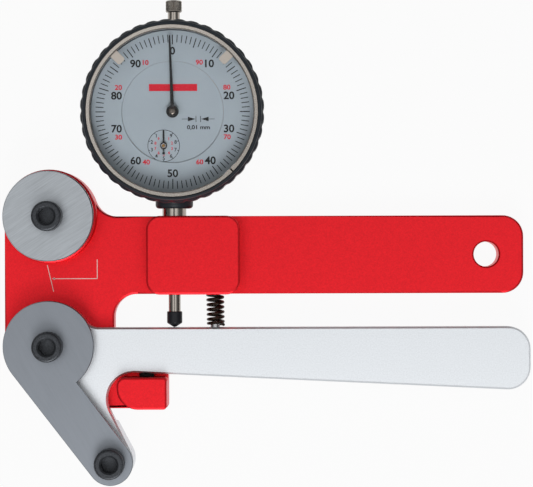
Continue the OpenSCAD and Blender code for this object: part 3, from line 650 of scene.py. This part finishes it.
class METER_OT_frame(bpy.types.Operator):
    """Red frame with broken edges and its engraved direction mark"""

    bl_idname = "meter.frame"
    bl_label = "Frame"

    def execute(self, context):
        red = red_anodised_aluminium()
        edge = sizes().edge_chamfer / MM
        bm = cad_copy("frame_plate")
        tops = (PLATE_TOP, low("upper_bush").z, high("frame_plate").z)
        chamfer(bm, outer_edges(bm), edge, segments=2)
        lay_back(bm, tops, edge)
        make_piece("frame_body", bm, red, "frame", ["frame_plate"])

        # Slanted index with an arrow that points at it, on the web
        width = sizes().engraving_width / MM
        depth = 0.02
        index_top, index_foot = (-1.3, 26.8), (0.8, 17.9)
        tip, corner, tail_top = Vector((0.15, 22.2)), Vector((15.4, 22.2)), 28.6
        marks = bmesh.new()
        bar(marks, index_top, index_foot, width, depth, PLATE_TOP)
        bar(marks, tip + Vector((0.6, 0)), corner, width, depth, PLATE_TOP)
        bar(marks, corner - Vector((0, width / 2)), (corner.x, tail_top), width, depth, PLATE_TOP)
        arrowhead(marks, tip + Vector((1.1, 0)), tip, 0.4, depth, PLATE_TOP)
        engraved = turned_metal("engraved_aluminium", "#DDC3BE", 0.5, 0.3)
        make_piece("frame_marks", marks, engraved, "frame")
        return {"FINISHED"}


class METER_OT_lever(bpy.types.Operator):
    """Lever, arm plate and guide disc with broken edges"""

    bl_idname = "meter.lever"
    bl_label = "Lever and plates"

    def execute(self, context):
        pale = clear_anodised_aluminium()
        edge = sizes().edge_chamfer / MM
        bm = cad_copy("lever_bar")
        chamfer(bm, outer_edges(bm), edge)
        make_piece("lever_body", bm, pale, "lever", ["lever_bar"])

        ground = belt_ground_steel("belt_ground_steel", "#A9AEB3", math.radians(33), 0.16)
        dark = belt_ground_steel("belt_ground_arm_steel", "#868B92", math.radians(-60), 0.05)
        for node, name, body, slot, steel in (
            ("upper_disc", "guide_disc", "frame", "brushed_steel", ground),
            ("arm_plate", "arm_plate_sheet", "lever", "dark_steel", dark),
        ):
            sheet = cad_copy(node)
            chamfer(sheet, outer_edges(sheet), sizes().sheet_chamfer / MM)
            make_piece(name, sheet, steel, body, [node])
        return {"FINISHED"}


HEAD_HEIGHT = 6.0


def cap_screw(reach):
    """Socket head screw: head on z = 0 with knurled side and hexagon socket, shank below."""
    head_r, head_h, socket_r, shank_r = 5.0, HEAD_HEIGHT, 2.5, 3.0
    flutes, flute_depth = 72, 0.14
    profile = [
        (0, -reach),
        (shank_r - 0.4, -reach),
        (shank_r, -reach + 0.4),
        (shank_r, 0),
        (head_r - 0.25, 0),
        (head_r, 0.25),
        (head_r, head_h - 0.85),
        (head_r - 0.12, head_h - 0.4),
        (head_r - 0.35, head_h - 0.14),
        (head_r - 0.75, head_h),
        (socket_r + 0.75, head_h),
        (socket_r + 0.62, head_h - 0.06),
        (socket_r + 0.1, head_h - 0.5),
        (socket_r, head_h - 0.55),
        (socket_r, head_h - 4.6),
        (0, head_h - 4.7),
    ]
    bm = lathe(profile, 2 * flutes)
    for v in bm.verts:
        r = math.hypot(v.co.x, v.co.y)
        a = math.atan2(v.co.y, v.co.x)
        step = round(a / TURN * 2 * flutes)
        if abs(r - head_r) < 1e-3 and step % 2:
            share = (r - flute_depth) / r
            v.co.x *= share
            v.co.y *= share
        if abs(r - socket_r) < 1e-3 and v.co.z > 0:
            side = (math.degrees(a) + 30) % 60 - 30
            share = 1 / math.cos(math.radians(side))
            v.co.x *= share
            v.co.y *= share
    return bm


class METER_OT_screws(bpy.types.Operator):
    """The three black contact screws"""

    bl_idname = "meter.screws"
    bl_label = "Contact screws"

    def execute(self, context):
        black = black_oxide_steel()
        for node, body, turn in (
            ("upper_screw", "frame", 12),
            ("pivot_screw", "frame", 40),
            ("lower_screw", "lever", 25),
        ):
            place, seat = middle(node), high(node).z - HEAD_HEIGHT
            bm = cap_screw(seat - low(node).z)
            move_to(bm, (place.x, place.y, seat), (0, 0, math.radians(turn)))
            make_piece(f"{node}_detail", bm, black, body, [node])
        return {"FINISHED"}


def wound_wire(wire_r, coil_r, length, turns):
    """Compression spring along Z from z = 0, with a closed turn at each end."""
    steps, sides = 24, 10
    close = 1.06 * 2 * wire_r
    pitch = (length - 2 * wire_r - 2 * close) / (turns - 2)
    bm = bmesh.new()
    made = bmesh.ops.create_circle(bm, segments=sides, radius=wire_r)
    bmesh.ops.rotate(
        bm, verts=made["verts"], matrix=Matrix.Rotation(math.pi / 2, 3, "X")
    )
    bmesh.ops.translate(bm, verts=made["verts"], vec=(coil_r, 0, wire_r))
    start = list(bm.edges)
    bmesh.ops.contextual_create(bm, geom=start)
    last = start
    for rise, count in ((close, 1), (pitch, turns - 2), (close, 1)):
        made = bmesh.ops.spin(
            bm,
            geom=last,
            cent=(0, 0, 0),
            axis=(0, 0, 1),
            dvec=(0, 0, rise / steps),
            angle=TURN * count,
            steps=steps * count,
        )
        last = [e for e in made["geom_last"] if isinstance(e, bmesh.types.BMEdge)]
    bmesh.ops.contextual_create(bm, geom=last)
    bmesh.ops.recalc_face_normals(bm, faces=bm.faces)
    return bm


class METER_OT_springs(bpy.types.Operator):
    """Return spring between the block and the lever, and the gauge's own spring"""

    bl_idname = "meter.springs"
    bl_label = "Springs"

    def execute(self, context):
        wire = black_spring_wire()
        for node, name, other, wire_r, turns, lean, fixed_at_top in (
            ("return_spring", "lever_return_spring", "lever", 0.5, 14, 0.02, True),
            ("gauge_spring", "spindle_spring", "spindle", 0.225, 24, 0.0, False),
        ):
            lo, hi = low(node), high(node)
            coil_r = (hi.x - lo.x) / 2 - wire_r
            bm = wound_wire(wire_r, coil_r, hi.y - lo.y, turns)
            place = middle(node)
            foot_x = place.x + 0.5 * lean * (hi.y - lo.y)
            move_to(bm, (foot_x, lo.y, place.z), (-math.pi / 2, 0, lean))
            piece = make_piece(name, bm, wire, None, [node])
            ends = [
                (place.x * MM, (hi.y - wire_r) * MM, place.z * MM),
                (place.x * MM, (lo.y + wire_r) * MM, place.z * MM),
            ]
            if not fixed_at_top:
                ends.reverse()
            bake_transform(piece)
        return {"FINISHED"}


class METER_OT_bezel(bpy.types.Operator):
    """Scalloped bezel, its bright split ring and the two tolerance markers"""

    bl_idname = "meter.bezel"
    bl_label = "Bezel"

    def execute(self, context):
        black = moulded_black("moulded_bezel", "#23282E", 0.38)
        lo, hi = low("bezel_ring"), high("bezel_ring")
        # Radii of the scallops' crests and valleys, of the plain band above them, and of the
        # steps that hold the crystal, the scale and the case
        crest = (hi.x - lo.x) / 2
        valley = crest - 0.38
        band = crest - 0.85
        inner = (high("crystal").x - low("crystal").x) / 2 + 0.1
        shelf, floor_r, skirt = 26.8, 26.0, 28.04
        shelf_z, case_z = low("scale_ring").z, 19.1
        profile = [
            (floor_r, case_z),
            (floor_r, shelf_z),
            (shelf, shelf_z),
            (shelf, low("crystal").z),
            (inner, low("crystal").z),
            (inner, hi.z - 0.15),
            (inner + 0.15, hi.z),
            (band - 0.35, hi.z),
            (band - 0.1, hi.z - 0.12),
            (band, hi.z - 0.45),
            (band, hi.z - 1.4),
            (crest - 0.3, hi.z - 1.9),
            (crest, hi.z - 2.4),
            (crest, lo.z + 0.5),
            (crest - 0.3, lo.z),
            (skirt, lo.z),
            (skirt, case_z),
        ]
        lobes, first_crest = 40, math.radians(4.2)
        bm = lathe(profile, lobes * 10, closed=True)
        for v in bm.verts:
            r = math.hypot(v.co.x, v.co.y)
            share = min(1.0, max(0.0, (r - band) / (crest - band)))
            wave = (1 - math.cos(lobes * (math.atan2(v.co.y, v.co.x) - first_crest))) / 2
            new_r = r - share * (crest - valley) * wave**2.2
            v.co.x *= new_r / r
            v.co.y *= new_r / r
        move_to(bm, (DIAL.x, DIAL.y, 0))
        make_piece("scalloped_bezel", bm, black, "bezel", ["bezel_ring"])

        nickel = turned_metal("bright_nickel", "#C9C2BA", 0.24)
        ring = cad_copy("retaining_ring")
        # The ring's inner edge slopes more than its outer one, which lies a little lower
        slope, lowered = 0.35, 0.2
        middle_r = (high("retaining_ring").x - low("retaining_ring").x) / 2 - 0.75
        edges = outer_edges(ring, above=hi.z - 0.01)
        inner_edges = [
            e
            for e in edges
            if max(math.hypot(v.co.x - DIAL.x, v.co.y - DIAL.y) for v in e.verts) < middle_r
        ]
        chamfer(ring, [e for e in edges if e not in inner_edges], 0.12)
        inner_edges = [e for e in inner_edges if e.is_valid]
        chamfer(ring, inner_edges, slope)
        for v in ring.verts:
            r = math.hypot(v.co.x - DIAL.x, v.co.y - DIAL.y)
            if v.co.z > hi.z - lowered and r > middle_r:
                v.co.z -= lowered
        make_piece("split_ring", ring, nickel, "bezel", ["retaining_ring"])

        silver = turned_metal("satin_nickel_silver", "#BDB5AC", 0.36)
        for side in ("left", "right"):
            tab = cad_copy(f"marker_{side}")
            chamfer(tab, outer_edges(tab), 0.05)
            make_piece(
                f"tolerance_tab_{side}", tab, silver, f"{side}_marker",
                [f"marker_{side}"],
            )
        return {"FINISHED"}


class METER_OT_outer_print(bpy.types.Operator):
    """Division marks and numerals of the outer dial"""

    bl_idname = "meter.outer_print"
    bl_label = "Outer dial print"

    def execute(self, context):
        top, ink = SCALE_TOP, sizes().print_height / MM
        width = sizes().tick_width / MM
        tall = sizes().numeral_height / MM
        black, red = bmesh.new(), bmesh.new()
        count = sizes().divisions
        tick_end, tick_start, long_start = 25.3, 22.75, 22.05
        for i in range(count):
            long = i % 5 == 0
            a = 360 * i / count
            outer = around(DIAL, tick_end, a)
            inner = around(DIAL, long_start if long else tick_start, a)
            bar(black, inner, outer, width * (1.15 if long else 1), ink, top)
        numerals = (
            ("0", 0, 20.0), ("50", 0, -20.2),
            ("10", 12.15, 15.8), ("90", -12.15, 15.8),
            ("20", 18.5, 5.3), ("80", -18.4, 5.3),
            ("30", 18.5, -5.55), ("70", -18.4, -5.55),
            ("40", 12.3, -16.0), ("60", -12.15, -16.0),
        )
        for words, x, y in numerals:
            lettering(black, words, on_dial(x, y), tall, 1.04, top, ink)
        reversed_numerals = (
            ("90", 8.8, 16.2), ("10", -8.8, 16.15),
            ("80", 17.8, 8.0), ("20", -17.75, 8.0),
            ("70", 17.9, -8.3), ("30", -17.75, -8.3),
            ("60", 8.85, -16.5), ("40", -8.7, -16.5),
        )
        small = 0.64 * tall
        for words, x, y in reversed_numerals:
            lettering(red, words, on_dial(x, y), small, 1.08, top, ink)
        black_ink = printing_ink("black_ink", tuple(colours().black_ink))
        red_ink = printing_ink("red_ink", tuple(colours().red_ink))
        make_piece("scale_print_black", black, black_ink, "bezel")
        make_piece("scale_print_red", red, red_ink, "bezel")
        return {"FINISHED"}


class METER_OT_inner_print(bpy.types.Operator):
    """Counter dial, division value and plain red bar of the inner dial"""

    bl_idname = "meter.inner_print"
    bl_label = "Inner dial print"

    def execute(self, context):
        top, ink = INNER_TOP, sizes().print_height / MM
        black, red = bmesh.new(), bmesh.new()
        # The counter's ring, with black digits that run anticlockwise and red ones inside them
        ring_r, tick_start, black_r, red_r = 5.2, 4.7, 4.1, 2.85
        flat_ring(black, COUNTER, ring_r, 0.18, ink, top)
        for i in range(10):
            a = 36 * i
            bar(black, around(COUNTER, tick_start, a), around(COUNTER, ring_r, a), 0.2, ink, top)
            if i:
                for bm, r, angle, tall in ((black, black_r, -a, 1.2), (red, red_r, a, 1.0)):
                    place = around(COUNTER, r, angle)
                    lettering(bm, str(i), place, tall, 1.0, top, ink, bold=0.02)

        # Two arrows that point at the bars on either side of one division
        y, mid = -2.4, 8.4
        bar_x, tip_x, base_x, tail_x = 0.75, 0.9, 3.4, 5.4
        for side in (-1, 1):
            x = mid + bar_x * side
            bar(black, on_dial(x, y - 1.0), on_dial(x, y + 1.0), 0.2, ink, top)
            base = on_dial(mid + base_x * side, y)
            bar(black, base, on_dial(mid + tail_x * side, y), 0.16, ink, top)
            arrowhead(black, base, on_dial(mid + tip_x * side, y), 0.75, ink, top)
        lettering(black, "0,01 mm", on_dial(8.45, -5.2), 1.6, 1.18, top, ink)
        bar(red, on_dial(-7.75, 7.95), on_dial(8.05, 7.95), 2.3, ink, top)
        black_ink = bpy.data.materials["black_ink"]
        red_ink = bpy.data.materials["red_ink"]
        make_piece("counter_print_black", black, black_ink, "frame")
        make_piece("counter_print_red", red, red_ink, "frame")
        return {"FINISHED"}


class METER_OT_hands(bpy.types.Operator):
    """The two hands with broken edges, and the domed boss in the middle of each"""

    bl_idname = "meter.hands"
    bl_label = "Hands"

    def execute(self, context):
        black = moulded_black("blackened_hand", "#1B1C1E", 0.4)
        for node, name, body, width in (
            ("main_hand", "main_pointer", "centre_train", 0.1),
            ("counter_hand", "counter_pointer", "counter_train", 0.05),
        ):
            hand = cad_copy(node)
            top = high(node).z
            chamfer(hand, outer_edges(hand, above=top - 0.05), width)
            make_piece(name, hand, black, body, [node])
        nickel = turned_metal("turned_boss", "#6F6862", 0.22)
        boss = lathe([(0, 0.85), (0.5, 0.8), (0.95, 0.62), (1.25, 0.3), (1.3, 0), (0, 0)], 48)
        move_to(boss, (DIAL.x, DIAL.y, high("main_hand").z))
        make_piece("pointer_boss", boss, nickel, "centre_train")
        brass = turned_metal("turned_brass", "#A9824F", 0.3)
        cap = lathe([(0, 0.4), (0.3, 0.36), (0.52, 0.2), (0.56, 0), (0, 0)], 32)
        move_to(cap, (COUNTER.x, COUNTER.y, high("counter_arbor").z))
        make_piece("counter_boss", cap, brass, "counter_train")
        return {"FINISHED"}


class METER_OT_knob(bpy.types.Operator):
    """Lifting knob with its diamond knurl"""

    bl_idname = "meter.knob"
    bl_label = "Lifting knob"

    def execute(self, context):
        lo, hi = low("lift_knob"), high("lift_knob")
        r, h = (hi.x - lo.x) / 2, hi.y - lo.y
        # Knurl: rows along the side, grooves each way round, their climb and their depth
        rows, starts, lead, groove = 32, 22, 0.8, 0.24
        side = [(r, 0.5 + (h - 1.0) * i / rows) for i in range(rows + 1)]
        profile = [(0, 0), (r - 0.5, 0), (r - 0.2, 0.12), (r - 0.06, 0.3)] + side
        profile += [(r - 0.06, h - 0.3), (r - 0.2, h - 0.12), (r - 0.5, h), (0, h)]
        bm = lathe(profile, 6 * starts)
        for v in bm.verts:
            if math.hypot(v.co.x, v.co.y) > r - 0.01:
                a = math.atan2(v.co.y, v.co.x)
                climb = lead * v.co.z / r
                ridge = min(
                    abs(math.sin(starts * (a + way * climb) / 2)) for way in (-1, 1)
                )
                share = 1 - groove * (1 - ridge) / r
                v.co.x *= share
                v.co.y *= share
        place = middle("lift_knob")
        move_to(bm, (place.x, lo.y, place.z), (-math.pi / 2, 0, 0))
        metal = turned_metal("knurled_nickel", "#A59F98", 0.24)
        make_piece("knurled_knob", bm, metal, "spindle", ["lift_knob"])
        return {"FINISHED"}


class METER_OT_tip(bpy.types.Operator):
    """Contact tip with its round nose, and the gauge's collar with rounded corners"""

    bl_idname = "meter.tip"
    bl_label = "Contact tip and collar"

    def execute(self, context):
        # Round nose, cone, straight side, and the stud that screws into the spindle
        lo, hi = low("contact_tip"), high("contact_tip")
        r, nose, slope = (hi.x - lo.x) / 2, 1.4, math.radians(32)
        start = nose * math.sin(slope), nose * (1 - math.cos(slope))
        rise = start[1] + (r - 0.15 - start[0]) * math.tan(slope)
        tip_l, stud_r = 5.2, 1.25
        profile = [(0, 0)]
        profile += [
            (nose * math.sin(slope * i / 6), nose * (1 - math.cos(slope * i / 6)))
            for i in range(1, 7)
        ]
        profile += [
            (r - 0.15, rise),
            (r, rise + 0.3),
            (r, tip_l - 0.3),
            (r - 0.1, tip_l - 0.1),
            (r - 0.3, tip_l),
            (stud_r, tip_l),
            (stud_r, hi.y - lo.y),
            (0, hi.y - lo.y),
        ]
        bm = lathe(profile, 64)
        place = middle("contact_tip")
        move_to(bm, (place.x, lo.y, place.z), (-math.pi / 2, 0, 0))
        black = moulded_black("moulded_tip", "#1F2125", 0.32)
        make_piece("contact_tip_detail", bm, black, "spindle", ["contact_tip"])

        # Only the collar's lower rim is rounded, which lies outside the stem
        enamel = moulded_black("case_enamel", "#262B31", 0.4)
        case = cad_copy("gauge_case")
        bottom, stem_r, rounding = low("gauge_case").y, 5.0, 1.1
        rim = [
            e
            for e in outer_edges(case)
            if all(
                v.co.y < bottom + 0.01
                and math.hypot(v.co.x - place.x, v.co.z - place.z) > stem_r
                for v in e.verts
            )
        ]
        chamfer(case, rim, rounding, segments=3)
        make_piece(
            "gauge_body", case, enamel, "frame", ["gauge_case"],
            smooth=math.radians(35),
        )
        return {"FINISHED"}


class METER_OT_finishes(bpy.types.Operator):
    """Finishes of the CAD nodes that keep their own shape"""

    bl_idname = "meter.finishes"
    bl_label = "Finishes"

    def execute(self, context):
        ground = turned_metal("ground_hard_steel", "#B4B4B6", 0.25)
        brass = bpy.data.materials["turned_brass"]
        enamel = dial_enamel()
        scale = cad_copy("scale_ring")
        inner_r = (high("inner_dial").x - low("inner_dial").x) / 2 + 1
        step = [
            e
            for e in outer_edges(scale, above=SCALE_TOP - 0.01)
            if max(math.hypot(v.co.x - DIAL.x, v.co.y - DIAL.y) for v in e.verts) < inner_r
        ]
        chamfer(scale, step, 0.14)
        make_piece("scale_face", scale, enamel, "bezel", ["scale_ring"])
        nickel = turned_metal("nickel_plate", "#ABA49C", 0.16)
        plans = (
            (black_rubber(), ["stop_pad"]),
            (bpy.data.materials["black_oxide_steel"], ["stop_screw", "stem_clamp_screw"]),
            (ground, ["upper_bush", "pivot_bush", "lower_bush", "pivot_sleeve", "spring_peg",
                      "guide_pin", "counter_arbor", "centre_pinion"]),
            (turned_metal("sintered_bronze", "#9C7A50", 0.5), ["lever_bearing"]),
            (brass, ["rear_bridge", "movement_plate", "movement_pillars", "counter_wheel",
                     "hairspring_wheel"]),
            (bpy.data.materials["black_spring_wire"], ["hairspring"]),
            (enamel, ["inner_dial"]),
            (bpy.data.materials["case_enamel"], ["case_back"]),
            (nickel, ["gauge_stem", "plunger_rod", "plunger_bushes", "case_back_screws"]),
            (acrylic_glass(), ["crystal"]),
        )
        for material, nodes in plans:
            for node in nodes:
                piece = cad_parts[node]
                piece.data.materials.clear()
                piece.data.materials.append(material)
        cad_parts["crystal"].visible_shadow = False
        return {"FINISHED"}


def white_floor():
    """Floor just under the tool, nearly white to the eye and in metal and glass, which keeps the
    tool's faint shadow."""
    half, level, share = 40, -0.2 * MM, 0.94
    bm = bmesh.new()
    bmesh.ops.create_grid(bm, x_segments=1, y_segments=1, size=half)
    bmesh.ops.translate(bm, verts=bm.verts, vec=(0.07, 0.03, level))
    mesh = bpy.data.meshes.new("floor")
    bm.to_mesh(mesh)
    bm.free()
    floor = bpy.data.objects.new("floor", mesh)
    bpy.context.scene.collection.objects.link(floor)
    material, tree, shader = finish("white_floor", linear("#C4C4C4"), 0.8)
    path = add(tree, "ShaderNodeLightPath").outputs
    mirrored = maths(tree, "MAXIMUM", path["Is Glossy Ray"], path["Is Transmission Ray"])
    seen = maths(tree, "MAXIMUM", path["Is Camera Ray"], mirrored)
    glow = add(tree, "ShaderNodeEmission", Color=(1, 1, 1, 1), Strength=1.0)
    mixed = add(
        tree,
        "ShaderNodeMixShader",
        _0=maths(tree, "MULTIPLY", seen, share),
        _1=shader.outputs["BSDF"],
        _2=glow.outputs["Emission"],
    )
    output = next(n for n in tree.nodes if n.type == "OUTPUT_MATERIAL")
    tree.links.new(mixed.outputs["Shader"], output.inputs["Surface"])
    mesh.materials.append(material)


def soft_box():
    """World that lights from above and falls off towards the horizon, as in a studio with dark
    walls. Its rays are told apart by the height of their direction, which is 1 straight above."""
    box_rim, box, dark, bright = 0.7, 0.95, 0.12, 1.25
    opening_rim, opening, opening_share = 0.984, 0.992, 0.1
    backdrop_in_metal = 0.16
    world = bpy.data.worlds.new("soft_box")
    world.use_nodes = True
    tree = world.node_tree
    direction = add(tree, "ShaderNodeTexCoord").outputs["Generated"]
    height = add(tree, "ShaderNodeSeparateXYZ", Vector=direction).outputs["Z"]
    level = ramp(tree, height, box_rim, box, dark, bright)
    # A dark opening straight above, where the camera looks through the soft box
    open_share = ramp(tree, height, opening_rim, opening, 1.0, opening_share)
    strength = maths(tree, "MULTIPLY", level, open_share)
    # The pale backdrop above the floor: white to the eye, dim in metal and glass
    path = add(tree, "ShaderNodeLightPath").outputs
    mirrored = maths(tree, "MAXIMUM", path["Is Glossy Ray"], path["Is Transmission Ray"])
    dimmed = maths(tree, "MULTIPLY", mirrored, backdrop_in_metal)
    backdrop = maths(tree, "MAXIMUM", path["Is Camera Ray"], dimmed)
    background = tree.nodes["Background"]
    background.inputs["Color"].default_value = (1, 1, 1, 1)
    shown = maths(tree, "MAXIMUM", strength, backdrop)
    tree.links.new(shown, background.inputs["Strength"])
    return world


class METER_OT_stage(bpy.types.Operator):
    """Pale floor, soft light and a camera straight above"""

    bl_idname = "meter.stage"
    bl_label = "Stage"

    def execute(self, context):
        scene = context.scene
        scene.view_settings.view_transform = "Standard"
        white_floor()
        scene.world = soft_box()

        # The lamp stands below the lower edge of the picture
        lamp = bpy.data.lights.new("key", "AREA")
        lamp.size = 0.45
        lamp.energy = 4.8
        holder = bpy.data.objects.new("key", lamp)
        scene.collection.objects.link(holder)
        holder.location = (0.07, -0.62, 0.75)
        aim = Vector((0.07, 0.03, 0)) - holder.location
        holder.rotation_euler = aim.to_track_quat("-Z", "Y").to_euler()

        # Straight above the tool, as far away as the shift between near and far pieces tells
        lens = bpy.data.cameras.new("camera")
        lens.lens = 131.2
        lens.sensor_width = 36.0
        camera = bpy.data.objects.new("camera", lens)
        scene.collection.objects.link(camera)
        camera.location = (0.07207, 0.03377, 0.658)
        camera.rotation_euler = (0, 0, math.radians(-0.175))
        scene.camera = camera
        return {"FINISHED"}


OPERATORS = (
    METER_OT_stage,
    METER_OT_frame,
    METER_OT_lever,
    METER_OT_screws,
    METER_OT_springs,
    METER_OT_bezel,
    METER_OT_outer_print,
    METER_OT_inner_print,
    METER_OT_hands,
    METER_OT_knob,
    METER_OT_tip,
    METER_OT_finishes,
)


class METER_PT_panel(bpy.types.Panel):
    """Sizes, colours and steps of the tension meter"""

    bl_idname = "METER_PT_panel"
    bl_label = "Tension meter"
    bl_space_type = "VIEW_3D"
    bl_region_type = "UI"
    bl_category = "Tension meter"

    def draw(self, context):
        for group in (context.scene.meter_sizes, context.scene.meter_colours):
            box = self.layout.box()
            for name in group.__annotations__:
                box.prop(group, name)
        for operator in OPERATORS:
            self.layout.operator(operator.bl_idname)


CLASSES = (MeterSizes, MeterColours, *OPERATORS, METER_PT_panel)


def register():
    for cls in CLASSES:
        bpy.utils.register_class(cls)
    bpy.types.Scene.meter_sizes = PointerProperty(type=MeterSizes)
    bpy.types.Scene.meter_colours = PointerProperty(type=MeterColours)


def unregister():
    del bpy.types.Scene.meter_colours
    del bpy.types.Scene.meter_sizes
    for cls in reversed(CLASSES):
        bpy.utils.unregister_class(cls)


def main():
    """Builds everything in order."""
    register()
    for operator in OPERATORS:
        group, name = operator.bl_idname.split(".")
        getattr(getattr(bpy.ops, group), name)()


if __name__ == "__main__":
    main()
